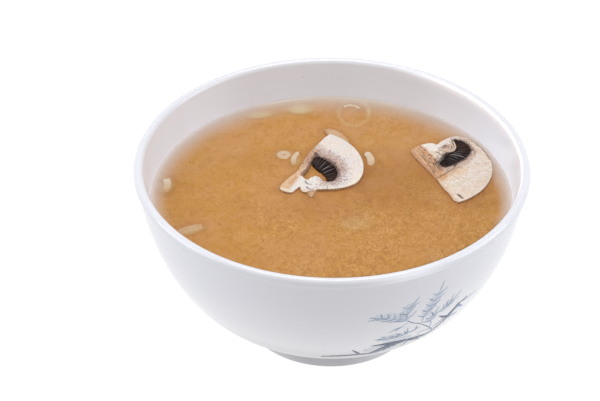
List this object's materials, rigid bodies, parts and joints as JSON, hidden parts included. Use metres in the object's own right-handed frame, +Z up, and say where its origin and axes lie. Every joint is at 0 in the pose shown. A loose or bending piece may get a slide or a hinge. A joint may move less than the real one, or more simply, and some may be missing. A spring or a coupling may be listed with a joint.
{
  "type": "miso soup in a bowl",
  "caption": "Round white glazed bowl on a low foot ring, filled with miso soup, with mushroom slices and chopped spring onion afloat in it.",
  "frame": {"origin": "the middle of the foot ring's underside, on the surface the bowl stands on", "axes": "+Z up along the bowl's axis, +Y towards the far side, +X to the right as seen from the near side, where the print is"},
  "size_m": [0.15, 0.15, 0.074],
  "materials": {
    "glaze": "glossy white glaze",
    "soup": "cloudy liquid, wet gloss",
    "mushroom_flesh": "moist cut flesh",
    "mushroom_gills": "moist dark gills",
    "spring_onion": "wet, translucent"
  },
  "bodies": {
    "root": {"bowl": "glaze", "soup": "soup", "mushroom_centre": "mushroom_flesh", "mushroom_centre_gills": "mushroom_gills", "mushroom_right": "mushroom_flesh", "mushroom_right_gills": "mushroom_gills", "spring_onion_1": "spring_onion", "spring_onion_2": "spring_onion", "spring_onion_3": "spring_onion", "spring_onion_4": "spring_onion", "spring_onion_5": "spring_onion", "spring_onion_6": "spring_onion"}
  },
  "joints": []
}
